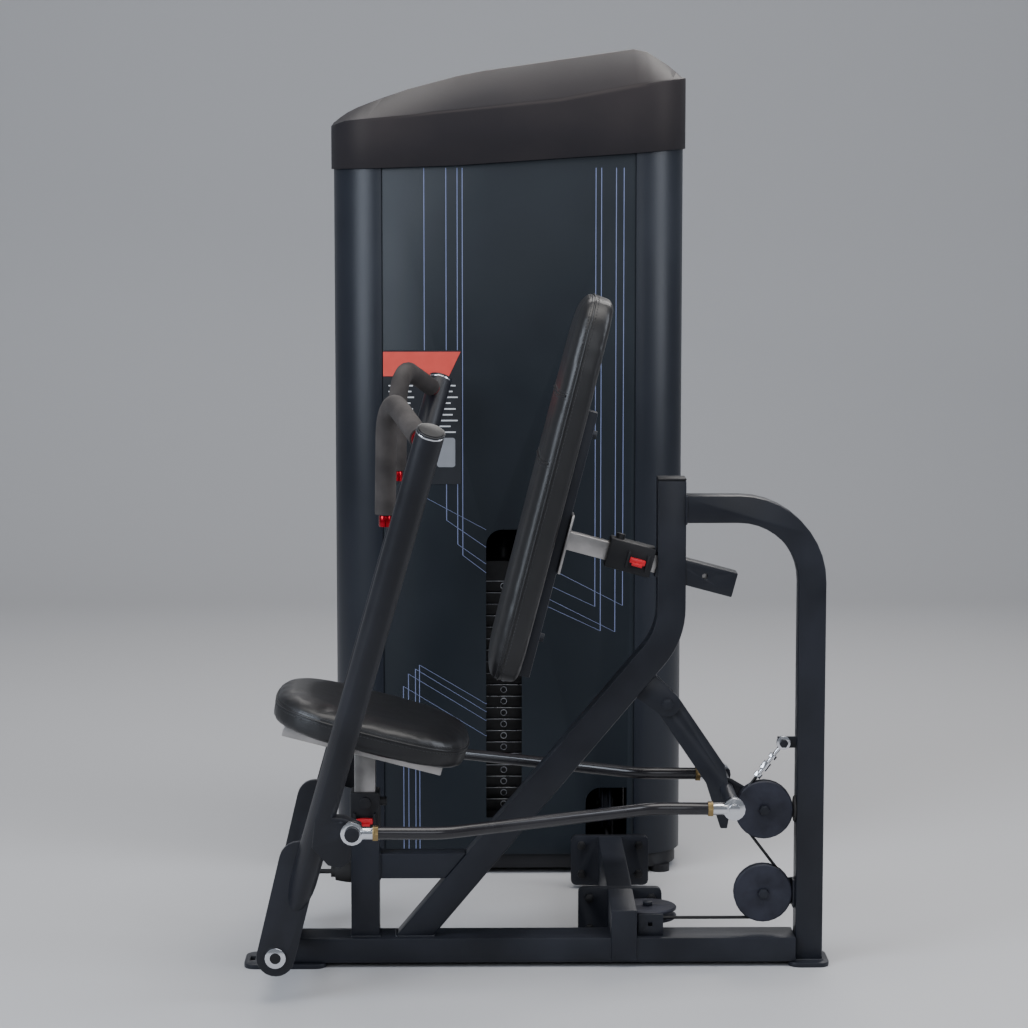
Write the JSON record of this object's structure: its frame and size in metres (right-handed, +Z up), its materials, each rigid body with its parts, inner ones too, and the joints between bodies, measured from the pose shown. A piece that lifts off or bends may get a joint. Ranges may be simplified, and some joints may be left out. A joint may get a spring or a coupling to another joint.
{
  "type": "chest press machine",
  "caption": "Seated chest press: raking arms with bent grips pull a swing link through push rods, lifting a shrouded weight stack by cable.",
  "frame": {"origin": "on the floor, under the middle of the whole machine", "axes": "+X to the rear, behind the user; +Y to the weight tower, on the user's right; +Z up"},
  "size_m": [1.039, 1.7062, 1.645],
  "materials": {
    "frame_paint": "textured satin black with a blue tint",
    "shroud_paint": "satin black sheet",
    "panel_paint": "satin blue-black sheet with pale printed lines",
    "cover_plastic": "satin moulded plastic",
    "leatherette": "fine-grained black leatherette, double stitched",
    "rubber": "dull black",
    "grip_rubber": "dull taupe-black",
    "red_anodised": "red anodised",
    "red_plastic": "glossy red",
    "chrome": "polished",
    "nickel": "bright plated",
    "black_plastic": "matte black",
    "rod_enamel": "glossy black",
    "pulley_nylon": "dull blue-grey nylon",
    "cable_sheath": "smooth black sheath over wire rope",
    "plate_iron": "painted black with bright worn edges"
  },
  "bodies": {
    "frame": {"front_foot": "frame_paint", "rear_foot": "frame_paint", "base_rail": "frame_paint", "connector_beam": "frame_paint", "arm_axle": "chrome", "seat_post": "frame_paint", "seat_cross_tube": "frame_paint", "backrest_upright": "frame_paint", "rear_frame": "frame_paint", "bumper": "rubber", "link_bracket": "frame_paint", "arm_stop": "black_plastic", "low_pulley_bracket": "frame_paint", "side_pulley_bracket": "frame_paint", "seat_sleeve": "black_plastic", "back_outer_tube": "frame_paint", "back_sleeve": "black_plastic", "tower_base": "black_plastic", "tower_left_shell": "shroud_paint", "tower_right_shell": "shroud_paint", "front_panel": "panel_paint", "rear_panel": "panel_paint", "tower_cover": "cover_plastic", "guide_frame": "frame_paint", "stack_lower": "plate_iron", "cable_run": "cable_sheath", "cable_drop_span": "cable_sheath", "cable_stack_span": "cable_sheath"},
    "press_arms": {"arm_yoke": "frame_paint", "left_arm": "frame_paint", "left_grip": "grip_rubber", "left_collar": "red_anodised", "left_cap": "red_anodised", "right_arm": "frame_paint", "right_grip": "grip_rubber", "right_collar": "red_anodised", "right_cap": "red_anodised"},
    "left_rod": {"left_push_rod": "rod_enamel"},
    "right_rod": {"right_push_rod": "rod_enamel"},
    "link": {"swing_link": "frame_paint", "float_yoke": "frame_paint", "cable_float_wrap": "cable_sheath"},
    "float_sheave": {"float_pulley": "pulley_nylon"},
    "turnbuckle_anchor": {"turnbuckle": "chrome", "cable_anchor_span": "cable_sheath"},
    "low_sheave": {"low_pulley": "pulley_nylon"},
    "side_sheave": {"side_pulley": "pulley_nylon"},
    "tower_low_sheave": {"tower_low_pulley": "pulley_nylon"},
    "top_right_sheave": {"top_pulley_right": "pulley_nylon"},
    "top_left_sheave": {"top_pulley_left": "pulley_nylon"},
    "lifted_weights": {"stack_lifted": "plate_iron"},
    "selector": {"selector_pin": "red_anodised"},
    "seat": {"seat_pad": "leatherette", "seat_plate": "nickel", "seat_tube": "nickel"},
    "seat_adjuster_lever": {"seat_lever": "red_plastic"},
    "back": {"back_pad": "leatherette", "back_bar": "frame_paint", "back_slide_tube": "nickel"},
    "back_adjuster_lever": {"back_lever": "red_plastic"}
  },
  "joints": [
    {"name": "arm_pivot", "type": "hinge", "parent": "frame", "child": "press_arms", "pos_m": [-0.4475, -0.23194, 0.079], "axis": [0, -1, 0], "range_deg": [0, 32]},
    {"name": "left_rod_pivot", "type": "hinge", "parent": "press_arms", "child": "left_rod", "pos_m": [-0.3125, -0.57694, 0.313], "axis": [0, -1, 0], "range_deg": [-37.72, 0]},
    {"name": "right_rod_pivot", "type": "hinge", "parent": "press_arms", "child": "right_rod", "pos_m": [-0.3125, 0.11306, 0.313], "axis": [0, -1, 0], "range_deg": [-37.72, 0]},
    {"name": "link_pivot", "type": "hinge", "parent": "frame", "child": "link", "pos_m": [0.2305, -0.23194, 0.468], "axis": [0, -1, 0], "range_deg": [-46.56, 0], "deforming": ["cable_drop_span"]},
    {"name": "float_pulley_spin", "type": "hinge", "parent": "link", "child": "float_sheave", "pos_m": [0.4035, -0.23194, 0.277], "axis": [0, -1, 0], "range_deg": [-192.35, 0]},
    {"name": "turnbuckle_pivot", "type": "hinge", "parent": "frame", "child": "turnbuckle_anchor", "pos_m": [0.4375, -0.23194, 0.396], "axis": [0, -1, 0], "range_deg": [-22.08, 0], "deforming": ["cable_anchor_span"]},
    {"name": "low_pulley_spin", "type": "hinge", "parent": "frame", "child": "low_sheave", "pos_m": [0.403, -0.23194, 0.126], "axis": [0, -1, 0], "range_deg": [0, 434.62]},
    {"name": "side_pulley_spin", "type": "hinge", "parent": "frame", "child": "side_sheave", "pos_m": [0.2005, -0.18594, 0.08], "axis": [0, 0, 1], "range_deg": [0, 434.62]},
    {"name": "tower_low_pulley_spin", "type": "hinge", "parent": "frame", "child": "tower_low_sheave", "pos_m": [0.1545, 0.52206, 0.126], "axis": [-1, 0, 0], "range_deg": [0, 434.62]},
    {"name": "top_right_pulley_spin", "type": "hinge", "parent": "frame", "child": "top_right_sheave", "pos_m": [0.1085, 0.56806, 1.31], "axis": [0, 1, 0], "range_deg": [0, 434.62]},
    {"name": "top_left_pulley_spin", "type": "hinge", "parent": "frame", "child": "top_left_sheave", "pos_m": [-0.006, 0.56806, 1.31], "axis": [0, 1, 0], "range_deg": [0, 434.62]},
    {"name": "stack_lift", "type": "slide", "parent": "frame", "child": "lifted_weights", "axis": [0, 0, 1], "range_m": [0, 0.3489], "deforming": ["cable_stack_span"]},
    {"name": "selector_pin_slide", "type": "slide", "parent": "lifted_weights", "child": "selector", "axis": [0, -1, 0], "range_m": [0, 0.038]},
    {"name": "seat_height", "type": "slide", "parent": "frame", "child": "seat", "axis": [0, 0, 1], "range_m": [-0.02, 0.07]},
    {"name": "seat_lever_pivot", "type": "hinge", "parent": "frame", "child": "seat_adjuster_lever", "pos_m": [-0.304, -0.26534, 0.264], "axis": [-1, 0, 0], "range_deg": [0, 15], "stiffness_Nm_per_rad": 0.6},
    {"name": "back_slide", "type": "slide", "parent": "frame", "child": "back", "axis": [-0.9659, 0, 0.2588], "range_m": [-0.02, 0.08]},
    {"name": "back_lever_pivot", "type": "hinge", "parent": "frame", "child": "back_adjuster_lever", "pos_m": [0.17511, -0.26534, 0.72474], "axis": [-0.9659, 0, 0.2588], "range_deg": [0, 15], "stiffness_Nm_per_rad": 0.6}
  ],
  "couplings": [
    {"joint": "left_rod_pivot", "follows": "arm_pivot", "ratio": -1.1776},
    {"joint": "right_rod_pivot", "follows": "arm_pivot", "ratio": -1.1776},
    {"joint": "link_pivot", "follows": "arm_pivot", "ratio": -1.4536},
    {"joint": "float_pulley_spin", "follows": "arm_pivot", "ratio": -6.0049},
    {"joint": "turnbuckle_pivot", "follows": "arm_pivot", "ratio": -0.68918},
    {"joint": "low_pulley_spin", "follows": "arm_pivot", "ratio": 13.568},
    {"joint": "side_pulley_spin", "follows": "arm_pivot", "ratio": 13.568},
    {"joint": "tower_low_pulley_spin", "follows": "arm_pivot", "ratio": 13.568},
    {"joint": "top_right_pulley_spin", "follows": "arm_pivot", "ratio": 13.568},
    {"joint": "top_left_pulley_spin", "follows": "arm_pivot", "ratio": 13.568},
    {"joint": "stack_lift", "follows": "arm_pivot", "m_per_rad": 0.62414}
  ]
}
